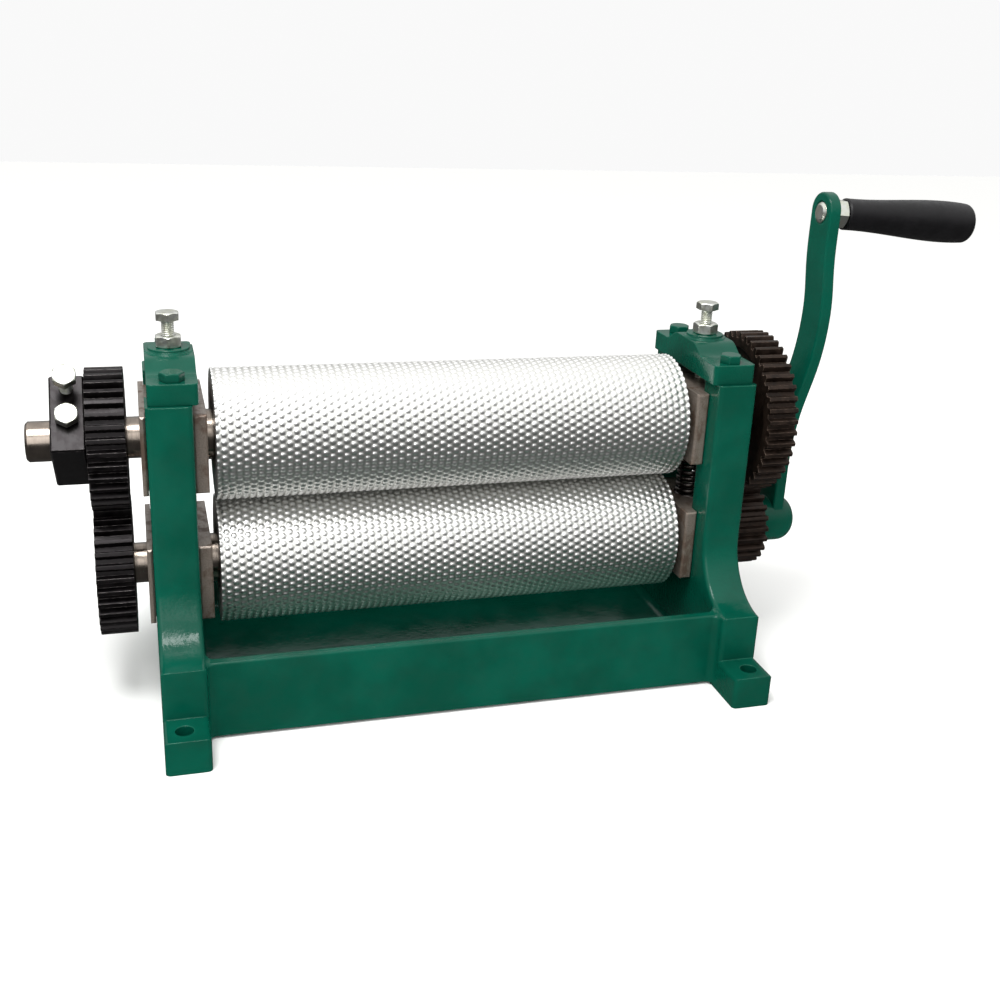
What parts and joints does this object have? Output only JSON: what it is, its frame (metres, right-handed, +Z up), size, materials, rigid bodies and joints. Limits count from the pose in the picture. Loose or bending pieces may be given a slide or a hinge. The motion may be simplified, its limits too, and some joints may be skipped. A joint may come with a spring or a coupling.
{
  "type": "hand-cranked foundation roller mill",
  "caption": "Bench roller mill: hexagon-embossed rolls geared together in a cast frame with a drip trough, screw-set nip and side crank.",
  "frame": {"origin": "centre of the four foot holes, on the plane the feet stand on", "axes": "+X along the rolls towards the crank, +Y from front to back, +Z up"},
  "size_m": [0.6418, 0.242, 0.323],
  "materials": {
    "green_enamel": "gloss enamel over cast iron",
    "roll_aluminium": "bright embossed",
    "turned_steel": "turned",
    "ground_steel": "ground, lightly oiled",
    "bronze": "machined",
    "zinc_plated": "bright zinc plate",
    "spring_steel": "oiled wire",
    "blackened_steel": "black oxide",
    "oiled_iron": "oiled, unpainted",
    "grip_plastic": "moulded"
  },
  "bodies": {
    "frame": {"cast_frame": "green_enamel", "left_cap": "green_enamel", "right_cap": "green_enamel", "left_cap_bolts": "green_enamel", "right_cap_bolts": "green_enamel", "left_lock_nut": "zinc_plated", "right_lock_nut": "zinc_plated", "lower_left_block": "ground_steel", "lower_right_block": "ground_steel", "lower_left_bush": "bronze", "lower_right_bush": "bronze", "left_spring": "spring_steel", "right_spring": "spring_steel"},
    "upper_bearings": {"upper_left_block": "ground_steel", "upper_right_block": "ground_steel", "upper_left_bush": "bronze", "upper_right_bush": "bronze"},
    "left_screw": {"left_adjusting_screw": "zinc_plated"},
    "right_screw": {"right_adjusting_screw": "zinc_plated"},
    "upper_rotor": {"upper_roll": "roll_aluminium", "upper_shaft": "turned_steel", "upper_timing_gear": "blackened_steel", "phase_dog": "blackened_steel", "dog_set_screw": "zinc_plated", "phase_screws": "zinc_plated", "phase_pin": "turned_steel", "drive_gear": "oiled_iron", "drive_gear_key": "turned_steel", "drive_gear_washer": "zinc_plated", "drive_gear_bolt": "zinc_plated"},
    "lower_rotor": {"lower_roll": "roll_aluminium", "lower_shaft": "turned_steel", "lower_timing_gear": "blackened_steel", "timing_gear_key": "turned_steel", "timing_gear_washer": "zinc_plated", "timing_gear_bolt": "zinc_plated"},
    "crank": {"crank_arm": "green_enamel", "crank_pinion": "oiled_iron", "pinion_dowels": "turned_steel", "crank_bush": "bronze", "crank_retaining_screw": "turned_steel", "handle_spindle": "zinc_plated"},
    "grip": {"handle_grip": "grip_plastic"}
  },
  "joints": [
    {"name": "roll_gap", "type": "slide", "parent": "frame", "child": "upper_bearings", "axis": [0, 0, 1], "range_m": [0, 0.003], "deforming": ["left_spring", "right_spring"]},
    {"name": "left_screw_turn", "type": "hinge", "parent": "upper_bearings", "child": "left_screw", "pos_m": [-0.1793, 0, 0.24], "axis": [0, 0, 1], "range_deg": [0, 869]},
    {"name": "right_screw_turn", "type": "hinge", "parent": "upper_bearings", "child": "right_screw", "pos_m": [0.1793, 0, 0.24], "axis": [0, 0, 1], "range_deg": [0, 869]},
    {"name": "upper_roll_spin", "type": "hinge", "parent": "upper_bearings", "child": "upper_rotor", "pos_m": [0, 0, 0.169], "axis": [1, 0, 0], "continuous": true},
    {"name": "lower_roll_spin", "type": "hinge", "parent": "frame", "child": "lower_rotor", "pos_m": [0, 0, 0.084], "axis": [1, 0, 0], "continuous": true},
    {"name": "crank_spin", "type": "hinge", "parent": "frame", "child": "crank", "pos_m": [0.24, 0, 0.084], "axis": [1, 0, 0], "continuous": true},
    {"name": "grip_spin", "type": "hinge", "parent": "crank", "child": "grip", "pos_m": [0.26155, 0, 0.309], "axis": [0.998, 0, -0.0628], "continuous": true}
  ],
  "couplings": [
    {"joint": "lower_roll_spin", "follows": "upper_roll_spin", "ratio": -1},
    {"joint": "crank_spin", "follows": "upper_roll_spin", "ratio": -1.8333},
    {"joint": "left_screw_turn", "follows": "roll_gap", "rad_per_m": 5026.5},
    {"joint": "right_screw_turn", "follows": "roll_gap", "rad_per_m": 5026.5}
  ]
}
